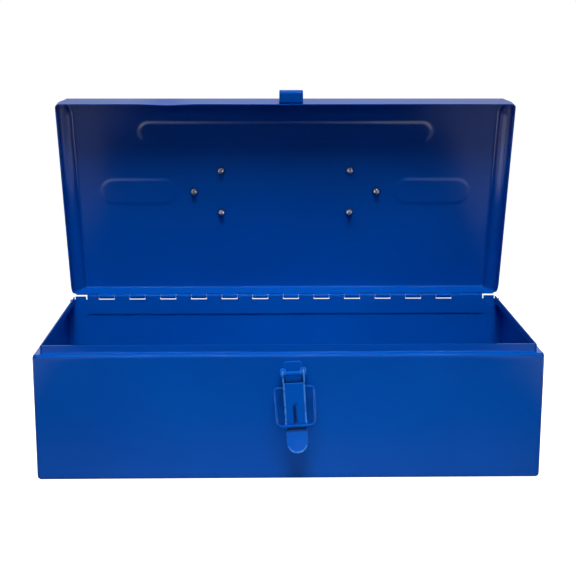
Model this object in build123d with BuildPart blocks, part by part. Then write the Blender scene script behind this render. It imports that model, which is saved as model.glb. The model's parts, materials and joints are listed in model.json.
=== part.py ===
"""Sheet-metal tool box with a piano-hinged lid, a toggle latch and a folding carrying handle.

Frame: millimetres, +X to the right, +Y to the back, +Z up. The origin is the centre of the
base, on the surface that the box stands on. The lid pieces are made shut and then turned open
about the hinge. The latch pieces are made upright and then turned to the latch's slant.
"""

import os
from math import asin, cos, degrees, radians, sin

from build123d import *

os.makedirs("parts", exist_ok=True)

# ---------------------------------------------------------------- driving dimensions
WIDTH = 360.0  # outside, left to right
DEPTH = 162.0  # outside, front to back
SHOULDER = 92.1  # height of the step that the lid sits above
JOGGLE = 5.2  # how far the step goes in
LIP = 5.7  # height of the lip above the step
SHEET = 0.8  # body and lid sheet
BEND = 2.0  # outside radius of the body's bends
LID_BEND = 2.6  # outside radius of the lid's bends
LID_CORNER = 3.0  # outside radius of the lid's upright corners
LID_SKIRT = 23.2  # height of the lid's front and side flanges
GAP = 0.3  # room between pieces that move past each other
FLANGE = 11.0  # inward flange of an end panel

HINGE_LENGTH = 328.0
HINGE_KNUCKLE = 12.7
HINGE_FIRST = 9.8  # length of the short knuckle at the left end
HINGE_BARREL_R = 1.9
HINGE_PIN_R = 1.0
HINGE_LEAF = 14.5  # from the pin's axis to a leaf's free edge
HINGE_SHEET = 0.8
HINGE_SLOT = 0.5  # daylight between a barrel and the sheet's edge
LID_OPEN = 81.5  # degrees, as the lid stands

PLATE = 1.2  # keeper, latch base and handle brackets
LATCH_SLANT = 3.5  # degrees, bottom towards the right
LATCH_X = 2.5
LATCH_PIVOT_Z = 80.0
LATCH_PIVOT_OUT = 5.5  # pivot axis from the front face
LATCH_PIN_R = 1.6
LEVER_SHEET = 1.0
LEVER_HALF = 7.8
BASE_HALF = 6.45
WIRE_R = 1.1  # bail wire
BAIL_DROP = 10.2  # bail pivot below the lever's pivot
BAIL_SPARE = 0.9  # keeps the slanted cross-bar clear of the hook plate
BAIL_HALF = 13.8  # half the width between the legs' middles, at the pivot
BAIL_FOOT = 13.4  # the same, at the cross-bar
KEEPER_X = 3.9
KEEPER_WIDTH = 18.6
KEEPER_RISE = 1.2  # hook plate above the lid's front edge
KEEPER_OUT = 9.6
KEEPER_CURL = 5.0

RIVET_R = 1.6
RIVET_FIT = 0.05
RIVET_TAIL_R = 2.5
RIVET_TAIL = 3.2
HANDLE_Y = -3.8  # the handle's pivots, from the lid's middle towards its front
HANDLE_WIRE_R = 3.0
HANDLE_HALF = 43.5
HANDLE_REACH = 38.0
HANDLE_END = 64.0  # where the turned-out ends stop
GRIP_R = 6.5
GRIP_LENGTH = 66.0
BRACKET_INNER = 48.5
BRACKET_OUTER = 80.0
RIVET_INNER_X = 52.5
RIVET_OUTER_X = 74.5
RIVET_Y = 17.7

# ---------------------------------------------------------------- worked-out places
FRONT = -DEPTH / 2
BACK = DEPTH / 2
LIP_TOP = SHOULDER + LIP
HINGE_Y = BACK - SHEET - HINGE_SHEET + HINGE_BARREL_R
HINGE_Z = 97.6
WALL_TOP = HINGE_Z - HINGE_BARREL_R - HINGE_SLOT
LID_FOOT = SHOULDER + GAP
LID_TOP = LID_FOOT + LID_SKIRT
LID_INSIDE = LID_TOP - SHEET
LID_BACK_FOOT = HINGE_Z + HINGE_BARREL_R + HINGE_SLOT
LATCH_PIVOT_Y = FRONT - LATCH_PIVOT_OUT
BAIL_Z = LATCH_PIVOT_Z - BAIL_DROP
WEB_OUT = LATCH_PIVOT_Y - 3.7
HOOK_TOP = LID_FOOT + KEEPER_RISE + PLATE
BAIL_REACH = HOOK_TOP + GAP + BAIL_SPARE + WIRE_R - BAIL_Z
HANDLE_Z = LID_TOP + 0.4 + HANDLE_WIRE_R
HANDLE_RISE = LID_TOP + 0.4 + GRIP_R - HANDLE_Z  # the grip's axis above the pivots

HINGE_AXIS = Axis((0, HINGE_Y, HINGE_Z), (-1, 0, 0))
SLANT_AXIS = Axis((LATCH_X, 0, LATCH_PIVOT_Z), (0, -1, 0))


def opened(piece):
    """A piece made with the lid shut, turned to where the open lid holds it."""
    return piece.rotate(HINGE_AXIS, LID_OPEN)


def slanted(piece):
    """A latch piece made upright at x = 0, moved to the latch's place and turned to its slant."""
    return piece.moved(Location((LATCH_X, 0, 0))).rotate(SLANT_AXIS, LATCH_SLANT)


def dome(radius, start, height):
    """Start, middle and end of a quarter outline of a round cap that closes on the axis."""
    ball = (radius**2 + height**2) / (2 * abs(height))
    half = asin(radius / ball) / 2
    up = 1 if height > 0 else -1
    middle = (ball * sin(half), start + height - up * ball * (1 - cos(half)))
    return (radius, start), middle, (0, start + height)


# ---------------------------------------------------------------- body: front, bottom and back
WRAP_HALF = WIDTH / 2 - BEND
LIP_HALF = WIDTH / 2 - JOGGLE - SHEET - 0.4
RISER_GAP = 0.9  # between the hinge's ends and the wall's raised corners

with BuildPart() as body_wrap:
    with BuildSketch(Plane.YZ.offset(-WRAP_HALF)):
        with BuildLine():
            FilletPolyline(
                (BACK, WALL_TOP),
                (BACK, 0),
                (FRONT, 0),
                (FRONT, SHOULDER),
                (FRONT + JOGGLE, SHOULDER),
                (FRONT + JOGGLE, LIP_TOP),
                radius=(BEND, BEND, BEND, 1.0),
            )
            offset(amount=SHEET, side=Side.RIGHT)
        make_face()
    extrude(amount=2 * WRAP_HALF)
    # the lip and the step's inner edge stop short of the end panels' lips
    trim = WRAP_HALF - LIP_HALF + 1
    with Locations(
        (LIP_HALF + trim / 2, FRONT + JOGGLE, SHOULDER + 3),
        (-LIP_HALF - trim / 2, FRONT + JOGGLE, SHOULDER + 3),
    ):
        Box(trim, 2.4, 12, mode=Mode.SUBTRACT)
    # the back wall's corners stand up beside the hinge
    riser_width = LIP_HALF - HINGE_LENGTH / 2 - RISER_GAP
    riser_x = LIP_HALF - riser_width / 2
    with Locations(
        (riser_x, BACK - SHEET / 2, (WALL_TOP + LIP_TOP) / 2),
        (-riser_x, BACK - SHEET / 2, (WALL_TOP + LIP_TOP) / 2),
    ):
        Box(riser_width, SHEET, LIP_TOP - WALL_TOP)
    # holes for the latch base's two rivets
    rivet_rows = (LATCH_PIVOT_Z - 19.2, LATCH_PIVOT_Z - 11.4)
    slant_x = (cos(radians(LATCH_SLANT)), 0, sin(radians(LATCH_SLANT)))
    slant = Plane(origin=(LATCH_X, FRONT, LATCH_PIVOT_Z), x_dir=slant_x, z_dir=(0, -1, 0))
    with BuildSketch(slant):
        with Locations(*[(0, z - LATCH_PIVOT_Z) for z in rivet_rows]):
            Circle(RIVET_R + RIVET_FIT)
    extrude(amount=-2 * SHEET, mode=Mode.SUBTRACT)

body_wrap.part.label = "body_wrap"
export_step(body_wrap.part, "parts/body_wrap.step")


# ---------------------------------------------------------------- body: end panels
PAN_TOP = SHOULDER - 2.6
PAN_DEPTH = DEPTH - 2 * SHEET
STEP_START = FRONT + JOGGLE - SHEET
STEP_END = BACK - 2.0


def end_panel():
    """The right-hand end: a pan with three inward flanges, and the step and lip along its top."""
    with BuildPart() as end:
        with BuildSketch(Plane.XY.offset(SHEET)):
            with Locations((WIDTH / 2 - FLANGE / 2, 0)):
                Rectangle(FLANGE, PAN_DEPTH)
        extrude(amount=PAN_TOP - SHEET)
        face = end.faces().sort_by(Axis.X)[-1]
        outer = face.edges().sort_by(Axis.Z)[:-1]
        fillet(outer, BEND)
        open_side = end.faces().filter_by(Axis.X).sort_by(Axis.X)[0]
        open_top = end.faces().filter_by(Axis.Z).sort_by(Axis.Z)[-1]
        offset(amount=-SHEET, openings=[open_side, open_top])
        # relief notches where the bottom flange meets the two upright ones
        for y in (-PAN_DEPTH / 2, PAN_DEPTH / 2):
            with Locations((WIDTH / 2 - FLANGE, y, SHEET)):
                Box(2 * FLANGE - 3.6, 7, 7, mode=Mode.SUBTRACT)
        with BuildSketch(Plane.XZ.offset(-STEP_END)):
            with BuildLine():
                FilletPolyline(
                    (WIDTH / 2, PAN_TOP - 1),
                    (WIDTH / 2, SHOULDER),
                    (WIDTH / 2 - JOGGLE, SHOULDER),
                    (WIDTH / 2 - JOGGLE, LIP_TOP),
                    radius=(BEND, 1.0),
                )
                offset(amount=SHEET, side=Side.LEFT)
            make_face()
        extrude(amount=STEP_END - STEP_START)
        with BuildSketch(Plane.XY.offset(PAN_TOP)):
            low = FRONT + SHEET + BEND
            with Locations((WIDTH / 2 - SHEET / 2, (low + STEP_START) / 2)):
                Rectangle(SHEET, STEP_START - low)
        extrude(amount=SHOULDER - BEND - PAN_TOP)
    return end.part


with BuildPart() as right_end_panel:
    add(end_panel())

right_end_panel.part.label = "right_end_panel"
export_step(right_end_panel.part, "parts/right_end_panel.step")

with BuildPart() as left_end_panel:
    add(mirror(right_end_panel.part, about=Plane.YZ))

left_end_panel.part.label = "left_end_panel"
export_step(left_end_panel.part, "parts/left_end_panel.step")


# ---------------------------------------------------------------- lid
EMBOSS = 0.6
BADGE_X = 121.0
BADGE_LENGTH = 63.0
BADGE_WIDTH = 22.0
BEAD_Y = FRONT + 27.5
BEAD_LENGTH = 238.0
BEAD_WIDTH = 17.0
REAR_ROUND = 14.0
FRONT_CHAMFER = 4.0
RIVET_PLACES = (
    (RIVET_INNER_X, HANDLE_Y + RIVET_Y),
    (RIVET_INNER_X, HANDLE_Y - RIVET_Y),
    (RIVET_OUTER_X, HANDLE_Y),
)


def pressed_outlines(inset):
    """Two plain oval pads and one long plain bead, as pressed into the lid's panel."""
    with Locations((BADGE_X, HANDLE_Y), (-BADGE_X, HANDLE_Y)):
        SlotOverall(BADGE_LENGTH - 2 * inset, BADGE_WIDTH - 2 * inset)
    with Locations((0, BEAD_Y)):
        SlotOverall(BEAD_LENGTH - 2 * inset, BEAD_WIDTH - 2 * inset)


def lid_block(inset):
    """The lid's outline as a block with round edges, smaller all round by the inset."""
    with BuildPart() as block:
        with BuildSketch(Plane.XY.offset(LID_FOOT)):
            RectangleRounded(WIDTH - 2 * inset, DEPTH - 2 * inset, LID_CORNER - inset)
        extrude(amount=LID_SKIRT - inset)
        fillet(block.faces().sort_by(Axis.Z)[-1].edges(), LID_BEND - inset)
    return block.part


with BuildPart() as lid_shell:
    add(lid_block(0))
    add(lid_block(SHEET), mode=Mode.SUBTRACT)
    # the back flange stops above the hinge barrel
    with BuildSketch(Plane.XY.offset(LID_FOOT)):
        with Locations((0, BACK)):
            Rectangle(WIDTH, 2 * SHEET + 1.6)
    extrude(amount=LID_BACK_FOOT - LID_FOOT, mode=Mode.SUBTRACT)
    # the lower corners: a large round at the back, a small chamfer at the front
    with BuildSketch(Plane.YZ.offset(-WIDTH)):
        with Locations((BACK - REAR_ROUND / 2 + 0.5, LID_FOOT + REAR_ROUND / 2 - 0.5)):
            Rectangle(REAR_ROUND + 1, REAR_ROUND + 1)
        with Locations((BACK - REAR_ROUND, LID_FOOT + REAR_ROUND)):
            Circle(REAR_ROUND, mode=Mode.SUBTRACT)
        with Locations((FRONT - 1 + FRONT_CHAMFER / 2, LID_FOOT - 1 + FRONT_CHAMFER / 2)):
            Rectangle(FRONT_CHAMFER, FRONT_CHAMFER, rotation=45)
    extrude(amount=2 * WIDTH, mode=Mode.SUBTRACT)
    with BuildSketch(Plane.XY.offset(LID_INSIDE)):
        pressed_outlines(0)
    extrude(amount=-EMBOSS)
    with BuildSketch(Plane.XY.offset(LID_TOP)):
        pressed_outlines(SHEET)
    extrude(amount=-EMBOSS, mode=Mode.SUBTRACT)
    with BuildSketch(Plane.XY.offset(LID_TOP)):
        for side in (1, -1):
            with Locations(*[(side * x, y) for x, y in RIVET_PLACES]):
                Circle(RIVET_R + RIVET_FIT)
    extrude(amount=-2 * SHEET, mode=Mode.SUBTRACT)

lid_shell.part = opened(lid_shell.part)
lid_shell.part.label = "lid_shell"
export_step(lid_shell.part, "parts/lid_shell.step")


# ---------------------------------------------------------------- piano hinge
KNUCKLE_GAP = 0.4
HINGE_LEFT = -HINGE_LENGTH / 2
HINGE_RIGHT = HINGE_LENGTH / 2
JOINTS = [HINGE_LEFT]
while JOINTS[-1] + HINGE_KNUCKLE < HINGE_RIGHT - 2:
    JOINTS.append(HINGE_LEFT + HINGE_FIRST + HINGE_KNUCKLE * (len(JOINTS) - 1))
JOINTS[-1] = HINGE_RIGHT
SPANS = list(zip(JOINTS[:-1], JOINTS[1:]))
LEAF_Y = BACK - SHEET - HINGE_SHEET


def hinge_leaf(spans, up):
    """A leaf with its own knuckles. The leaf is tangent to the barrel; up is 1 or -1."""
    edge = HINGE_Z + up * (HINGE_BARREL_R + HINGE_SLOT)
    free = HINGE_Z + up * HINGE_LEAF
    with BuildPart() as leaf:
        with Locations((0, LEAF_Y + HINGE_SHEET / 2, (edge + free) / 2)):
            Box(HINGE_LENGTH, HINGE_SHEET, abs(free - edge))
        for start, end in spans:
            left = start + KNUCKLE_GAP / 2
            with BuildSketch(Plane.YZ.offset(left)):
                with Locations((HINGE_Y, HINGE_Z)):
                    Circle(HINGE_BARREL_R)
                with Locations((LEAF_Y + HINGE_SHEET / 2, (edge + HINGE_Z) / 2)):
                    Rectangle(HINGE_SHEET, abs(edge - HINGE_Z) + 0.02)
                with Locations((HINGE_Y, HINGE_Z)):
                    Circle(HINGE_PIN_R + 0.06, mode=Mode.SUBTRACT)
            extrude(amount=end - start - KNUCKLE_GAP)
    return leaf.part


with BuildPart() as hinge_body_leaf:
    add(hinge_leaf(SPANS[0::2], -1))

hinge_body_leaf.part.label = "hinge_body_leaf"
export_step(hinge_body_leaf.part, "parts/hinge_body_leaf.step")

with BuildPart() as hinge_lid_leaf:
    add(hinge_leaf(SPANS[1::2], 1))

hinge_lid_leaf.part = opened(hinge_lid_leaf.part)
hinge_lid_leaf.part.label = "hinge_lid_leaf"
export_step(hinge_lid_leaf.part, "parts/hinge_lid_leaf.step")

with BuildPart() as hinge_pin:
    with BuildSketch(Plane.YZ.offset(HINGE_LEFT + 0.3)):
        with Locations((HINGE_Y, HINGE_Z)):
            Circle(HINGE_PIN_R)
    extrude(amount=HINGE_LENGTH - 0.6)
    chamfer(hinge_pin.edges(), 0.2)

hinge_pin.part.label = "hinge_pin"
export_step(hinge_pin.part, "parts/hinge_pin.step")


# ---------------------------------------------------------------- keeper on the lid's front
with BuildPart() as keeper:
    low = LID_FOOT + KEEPER_RISE
    with BuildSketch(Plane.YZ.offset(KEEPER_X - KEEPER_WIDTH / 2)):
        with BuildLine():
            FilletPolyline(
                (FRONT, low + 15),
                (FRONT, low),
                (FRONT - KEEPER_OUT, low),
                (FRONT - KEEPER_OUT, low + PLATE + KEEPER_CURL),
                radius=(1.6, 2.0),
            )
            offset(amount=PLATE, side=Side.RIGHT)
        make_face()
    extrude(amount=KEEPER_WIDTH)
    ends = keeper.edges().filter_by(Axis.Y)
    fillet(ends.group_by(Axis.Z)[-1], 2.5)
    hook_ends = ends.filter_by(lambda e: e.center().Y < FRONT - KEEPER_OUT + PLATE)
    fillet(hook_ends.group_by(Axis.Z)[-1], 2.0)

keeper.part = opened(keeper.part)
keeper.part.label = "keeper"
export_step(keeper.part, "parts/keeper.step")


# ---------------------------------------------------------------- toggle latch
BASE_FOOT = 57.0
BASE_TOP = 87.4
EAR_R = 2.4
LEVER_R = 4.2  # round of the lever's flanges about the pivot
WEB_TOP = LATCH_PIVOT_Z - 6.2
WEB_FOOT = LATCH_PIVOT_Z - 38.9
FLANGE_BACK = LATCH_PIVOT_Y + 3.4
FLANGE_FOOT = WEB_FOOT + 3.7
TAB_OUT = 5.6  # how far the finger tab's tip stands out from the web
TAB_TIP = LATCH_PIVOT_Z - 55.6
TAB_HALF = 7.3

with BuildPart() as latch_base:
    with BuildSketch(Plane.XZ.offset(-FRONT)):
        with Locations((0, (BASE_FOOT + BASE_TOP) / 2)):
            Rectangle(2 * BASE_HALF, BASE_TOP - BASE_FOOT)
    extrude(amount=PLATE)
    corners = latch_base.edges().filter_by(Axis.Y).group_by(Axis.Z)
    fillet(corners[-1], 2.6)
    fillet(corners[0], 2.0)
    for x in (-BASE_HALF, BASE_HALF - PLATE):
        with BuildSketch(Plane.YZ.offset(x)):
            with Locations((LATCH_PIVOT_Y, LATCH_PIVOT_Z)):
                Circle(EAR_R)
            with BuildLine():
                Polyline(
                    (FRONT, LATCH_PIVOT_Z - 9),
                    (FRONT - 2.4, LATCH_PIVOT_Z - 9),
                    (LATCH_PIVOT_Y - EAR_R, LATCH_PIVOT_Z),
                    (LATCH_PIVOT_Y, LATCH_PIVOT_Z + EAR_R),
                    (FRONT, LATCH_PIVOT_Z + EAR_R),
                    close=True,
                )
            make_face()
        extrude(amount=PLATE)
    with BuildSketch(Plane.YZ.offset(-BASE_HALF - 1)):
        with Locations((LATCH_PIVOT_Y, LATCH_PIVOT_Z)):
            Circle(LATCH_PIN_R + 0.03)
    extrude(amount=2 * BASE_HALF + 2, mode=Mode.SUBTRACT)
    with BuildSketch(Plane.XZ.offset(-FRONT)):
        with Locations(*[(0, z) for z in rivet_rows]):
            Circle(RIVET_R + RIVET_FIT)
    extrude(amount=2 * PLATE, mode=Mode.SUBTRACT)

latch_base.part = slanted(latch_base.part)
latch_base.part.label = "latch_base"
export_step(latch_base.part, "parts/latch_base.step")

HEAD_START = LEVER_HALF + GAP
HEAD_END = 10.2
HEAD_R = 3.9
HEAD_RIM = 0.7

with BuildPart() as latch_pivot_pin:
    with BuildSketch(Plane.XY):
        with BuildLine():
            Polyline(
                (0, -HEAD_START),
                (0, HEAD_START),
                (LATCH_PIN_R, HEAD_START),
                (LATCH_PIN_R, -HEAD_START),
                close=True,
            )
        make_face()
    revolve(axis=Axis.Y)
    for up in (1, -1):
        with BuildSketch(Plane.XY):
            with BuildLine():
                rim = up * (HEAD_START + HEAD_RIM)
                cap = up * (HEAD_END - HEAD_START - HEAD_RIM)
                Polyline((0, rim + cap), (0, up * HEAD_START), (HEAD_R, up * HEAD_START))
                Line((HEAD_R, up * HEAD_START), (HEAD_R, rim))
                ThreePointArc(*dome(HEAD_R, rim, cap))
            make_face()
        revolve(axis=Axis.Y)

pin_place = Location((0, LATCH_PIVOT_Y, LATCH_PIVOT_Z), (0, 0, -90))
latch_pivot_pin.part = slanted(latch_pivot_pin.part.moved(pin_place))
latch_pivot_pin.part.label = "latch_pivot_pin"
export_step(latch_pivot_pin.part, "parts/latch_pivot_pin.step")

with BuildPart() as latch_lever:
    # the web and the finger tab are one bent strip
    with BuildSketch(Plane.YZ.offset(-LEVER_HALF)):
        with BuildLine():
            FilletPolyline(
                (WEB_OUT, WEB_TOP),
                (WEB_OUT, WEB_FOOT),
                (WEB_OUT - TAB_OUT, TAB_TIP),
                radius=6.0,
            )
            offset(amount=LEVER_SHEET, side=Side.LEFT)
        make_face()
    extrude(amount=2 * LEVER_HALF)
    # the tab is narrower than the web and has a round end
    tab_length = FLANGE_FOOT + 10 - TAB_TIP
    with BuildSketch(Plane.XZ.offset(-FRONT)):
        with Locations((0, (FLANGE_FOOT + TAB_TIP) / 2 - 1)):
            Rectangle(2 * LEVER_HALF + 2, FLANGE_FOOT - TAB_TIP + 2)
        with Locations((0, TAB_TIP + tab_length / 2)):
            SlotOverall(tab_length, 2 * TAB_HALF, rotation=90, mode=Mode.SUBTRACT)
    extrude(amount=30, mode=Mode.SUBTRACT)
    for x in (-LEVER_HALF, LEVER_HALF - LEVER_SHEET):
        with BuildSketch(Plane.YZ.offset(x)):
            with Locations((LATCH_PIVOT_Y, LATCH_PIVOT_Z)):
                Circle(LEVER_R)
            with BuildLine():
                Polyline(
                    (LATCH_PIVOT_Y + 2.9, LATCH_PIVOT_Z - 3.04),
                    (FLANGE_BACK, LATCH_PIVOT_Z - 8),
                    (FLANGE_BACK, FLANGE_FOOT + 6),
                    (WEB_OUT + 0.5, FLANGE_FOOT),
                    (WEB_OUT + 0.5, WEB_TOP),
                    (LATCH_PIVOT_Y - 2.9, LATCH_PIVOT_Z + 3.04),
                    close=True,
                )
            make_face()
        extrude(amount=LEVER_SHEET)
    with BuildSketch(Plane.YZ.offset(-LEVER_HALF - 1)):
        with Locations((LATCH_PIVOT_Y, LATCH_PIVOT_Z)):
            Circle(LATCH_PIN_R + 0.06)
        with Locations((LATCH_PIVOT_Y, BAIL_Z)):
            Circle(WIRE_R + 0.06)
    extrude(amount=2 * LEVER_HALF + 2, mode=Mode.SUBTRACT)
    # a pressed groove down the middle of the web
    with Locations((0, WEB_OUT, WEB_FOOT + 10)):
        Box(2.4, 0.8, 18, mode=Mode.SUBTRACT)

latch_lever.part = slanted(latch_lever.part)
latch_lever.part.label = "latch_lever"
export_step(latch_lever.part, "parts/latch_lever.step")

BAIL_CLEAR = LATCH_PIVOT_Y - (WEB_OUT - GAP - WIRE_R)  # cross-bar in front of the web
BAIL_TILT = degrees(asin(BAIL_CLEAR / BAIL_REACH))
WIRE_END = LEVER_HALF - LEVER_SHEET - 0.6

with BuildPart() as latch_bail:
    # drawn upright below its pivot, in a plane that leans out by the tilt
    lean = Plane(
        origin=(0, LATCH_PIVOT_Y, BAIL_Z),
        x_dir=(1, 0, 0),
        z_dir=(0, -1, 0),
    ).rotated((-BAIL_TILT, 0, 0))
    with BuildLine(lean) as wire:
        FilletPolyline(
            (-WIRE_END, 0),
            (-BAIL_HALF, 0),
            (-BAIL_FOOT, -BAIL_REACH),
            (BAIL_FOOT, -BAIL_REACH),
            (BAIL_HALF, 0),
            (WIRE_END, 0),
            radius=(2.2, 3.6, 3.6, 2.2),
        )
    with BuildSketch(Plane(origin=wire.line @ 0, z_dir=wire.line % 0)):
        Circle(WIRE_R)
    sweep()

latch_bail.part = slanted(latch_bail.part)
latch_bail.part.label = "latch_bail"
export_step(latch_bail.part, "parts/latch_bail.step")


# ---------------------------------------------------------------- blind rivets
MANDREL_R = 0.85
RIVET_HEAD_R = 3.2
RIVET_HEAD = 1.1


def blind_rivet(grip):
    """A set blind rivet on +Z: domed head at z = 0 and up, swollen tail below the grip."""
    with BuildPart() as rivet:
        with BuildSketch(Plane.XZ):
            with BuildLine():
                Polyline(
                    (MANDREL_R + 0.05, RIVET_HEAD - 0.3),
                    (MANDREL_R + 0.05, -grip - RIVET_TAIL),
                    (RIVET_TAIL_R * 0.62, -grip - RIVET_TAIL),
                )
                ThreePointArc(
                    (RIVET_TAIL_R * 0.62, -grip - RIVET_TAIL),
                    (RIVET_TAIL_R, -grip - RIVET_TAIL * 0.45),
                    (RIVET_TAIL_R * 0.86, -grip),
                )
                Polyline(
                    (RIVET_TAIL_R * 0.86, -grip),
                    (RIVET_R, -grip),
                    (RIVET_R, 0),
                    (RIVET_HEAD_R, 0),
                )
                ThreePointArc(
                    (RIVET_HEAD_R, 0),
                    (RIVET_HEAD_R * 0.72, RIVET_HEAD * 0.72),
                    (RIVET_R, RIVET_HEAD),
                )
                Polyline(
                    (RIVET_R, RIVET_HEAD),
                    (MANDREL_R + 0.4, RIVET_HEAD),
                    (MANDREL_R + 0.05, RIVET_HEAD - 0.3),
                )
            make_face()
        revolve(axis=Axis.Z)
    return rivet.part


def mandrel(grip):
    """The broken-off steel mandrel that stays in a blind rivet, its ball showing at the tail."""
    with BuildPart() as stem:
        with BuildSketch(Plane.XZ):
            with BuildLine():
                tail = -grip - RIVET_TAIL - 0.05
                ball = MANDREL_R + 0.35
                Polyline((0, -0.4), (MANDREL_R, -0.4), (MANDREL_R, tail), (ball, tail))
                Line((ball, tail), (ball, tail - 0.35))
                ThreePointArc(*dome(ball, tail - 0.35, -0.6))
                Line((0, tail - 0.95), (0, -0.4))
            make_face()
        revolve(axis=Axis.Z)
    return stem.part


LID_GRIP = PLATE + SHEET
for side, name in ((-1, "left"), (1, "right")):
    places = [
        Location((side * x, y, LID_TOP + PLATE)) for x, y in RIVET_PLACES
    ]
    with BuildPart() as handle_rivets:
        add([blind_rivet(LID_GRIP).moved(place) for place in places])
    handle_rivets.part = opened(handle_rivets.part)
    handle_rivets.part.label = f"handle_rivets_{name}"
    export_step(handle_rivets.part, f"parts/handle_rivets_{name}.step")

    with BuildPart() as rivet_mandrels:
        add([mandrel(LID_GRIP).moved(place) for place in places])
    rivet_mandrels.part = opened(rivet_mandrels.part)
    rivet_mandrels.part.label = f"rivet_mandrels_{name}"
    export_step(rivet_mandrels.part, f"parts/rivet_mandrels_{name}.step")

latch_places = [Location((0, FRONT - PLATE, z), (90, 0, 0)) for z in rivet_rows]
with BuildPart() as latch_rivets:
    add([blind_rivet(LID_GRIP).moved(place) for place in latch_places])

latch_rivets.part = slanted(latch_rivets.part)
latch_rivets.part.label = "latch_rivets"
export_step(latch_rivets.part, "parts/latch_rivets.step")

with BuildPart() as latch_rivet_mandrels:
    add([mandrel(LID_GRIP).moved(place) for place in latch_places])

latch_rivet_mandrels.part = slanted(latch_rivet_mandrels.part)
latch_rivet_mandrels.part.label = "latch_rivet_mandrels"
export_step(latch_rivet_mandrels.part, "parts/latch_rivet_mandrels.step")


# ---------------------------------------------------------------- carrying handle
TUNNEL_R = HANDLE_WIRE_R + GAP
TUNNEL_END = 66.5
HANDLE_TILT = degrees(asin(HANDLE_RISE / HANDLE_REACH))


def handle_bracket(side):
    """A three-cornered plate with a raised tunnel that holds one turned-out end of the handle."""
    with BuildPart() as bracket:
        with BuildSketch(Plane.XY.offset(LID_TOP)):
            with BuildLine():
                Polyline(
                    (BRACKET_INNER, HANDLE_Y + RIVET_Y + 5.5),
                    (BRACKET_INNER + 8, HANDLE_Y + RIVET_Y + 5.5),
                    (BRACKET_OUTER, HANDLE_Y + 5),
                    (BRACKET_OUTER, HANDLE_Y - 5),
                    (BRACKET_INNER + 8, HANDLE_Y - RIVET_Y - 5.5),
                    (BRACKET_INNER, HANDLE_Y - RIVET_Y - 5.5),
                    close=True,
                )
            make_face()
            fillet(vertices(), 3.0)
        extrude(amount=PLATE)
        with BuildSketch(Plane.YZ.offset(BRACKET_INNER)):
            with Locations((HANDLE_Y, HANDLE_Z)):
                Circle(TUNNEL_R + PLATE)
            with Locations((HANDLE_Y, (LID_TOP + HANDLE_Z) / 2)):
                Rectangle(2 * (TUNNEL_R + PLATE), HANDLE_Z - LID_TOP)
            with Locations((HANDLE_Y, LID_TOP - 5)):
                Rectangle(40, 10, mode=Mode.SUBTRACT)
        extrude(amount=TUNNEL_END - BRACKET_INNER)
        with BuildSketch(Plane.YZ.offset(BRACKET_INNER - 1)):
            with Locations((HANDLE_Y, HANDLE_Z)):
                Circle(TUNNEL_R)
            with Locations((HANDLE_Y, HANDLE_Z - TUNNEL_R)):
                Rectangle(2 * TUNNEL_R, 2 * TUNNEL_R)
        extrude(amount=TUNNEL_END - BRACKET_INNER + 2, mode=Mode.SUBTRACT)
        with BuildSketch(Plane.XY.offset(LID_TOP)):
            with Locations(*RIVET_PLACES):
                Circle(RIVET_R + RIVET_FIT)
        extrude(amount=2 * PLATE, mode=Mode.SUBTRACT)
    piece = bracket.part
    return piece if side > 0 else mirror(piece, about=Plane.YZ)


for side, name in ((-1, "left"), (1, "right")):
    with BuildPart() as handle_bracket_piece:
        add(handle_bracket(side))
    handle_bracket_piece.part = opened(handle_bracket_piece.part)
    handle_bracket_piece.part.label = f"handle_bracket_{name}"
    export_step(handle_bracket_piece.part, f"parts/handle_bracket_{name}.step")

HANDLE_AXIS_POINT = (0, HANDLE_Y, HANDLE_Z)
HANDLE_PLANE = Plane(origin=HANDLE_AXIS_POINT, x_dir=(1, 0, 0)).rotated((HANDLE_TILT, 0, 0))

with BuildPart() as handle_rod:
    with BuildLine(HANDLE_PLANE) as rod:
        FilletPolyline(
            (-HANDLE_END, 0),
            (-HANDLE_HALF, 0),
            (-HANDLE_HALF, HANDLE_REACH),
            (HANDLE_HALF, HANDLE_REACH),
            (HANDLE_HALF, 0),
            (HANDLE_END, 0),
            radius=(4.6, 7.0, 7.0, 4.6),
        )
    with BuildSketch(Plane(origin=rod.line @ 0, z_dir=rod.line % 0)):
        Circle(HANDLE_WIRE_R)
    sweep()

handle_rod.part = opened(handle_rod.part)
handle_rod.part.label = "handle_rod"
export_step(handle_rod.part, "parts/handle_rod.step")

GRIP_END_R = GRIP_R - 0.7
RING_COUNT = 9
RING_PITCH = 5.6
RING_DEPTH = 0.6

with BuildPart() as handle_grip:
    # a moulded sleeve, slightly fuller in the middle, with shallow rings; it turns on the rod
    with BuildSketch(HANDLE_PLANE):
        with BuildLine():
            Line((-GRIP_LENGTH / 2, TUNNEL_R), (GRIP_LENGTH / 2, TUNNEL_R))
            Line((GRIP_LENGTH / 2, TUNNEL_R), (GRIP_LENGTH / 2, GRIP_END_R))
            ThreePointArc(
                (GRIP_LENGTH / 2, GRIP_END_R), (0, GRIP_R), (-GRIP_LENGTH / 2, GRIP_END_R)
            )
            Line((-GRIP_LENGTH / 2, GRIP_END_R), (-GRIP_LENGTH / 2, TUNNEL_R))
        make_face()
        ring_xs = [(n - (RING_COUNT - 1) / 2) * RING_PITCH for n in range(RING_COUNT)]
        with Locations(*[(x, GRIP_R + 0.1) for x in ring_xs]):
            Circle(RING_DEPTH, mode=Mode.SUBTRACT)
    revolve(axis=Axis(HANDLE_PLANE.origin, HANDLE_PLANE.x_dir))

grip_shift = HANDLE_PLANE.y_dir * HANDLE_REACH
handle_grip.part = opened(handle_grip.part.moved(Location(grip_shift)))
handle_grip.part.label = "handle_grip"
export_step(handle_grip.part, "parts/handle_grip.step")
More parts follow.
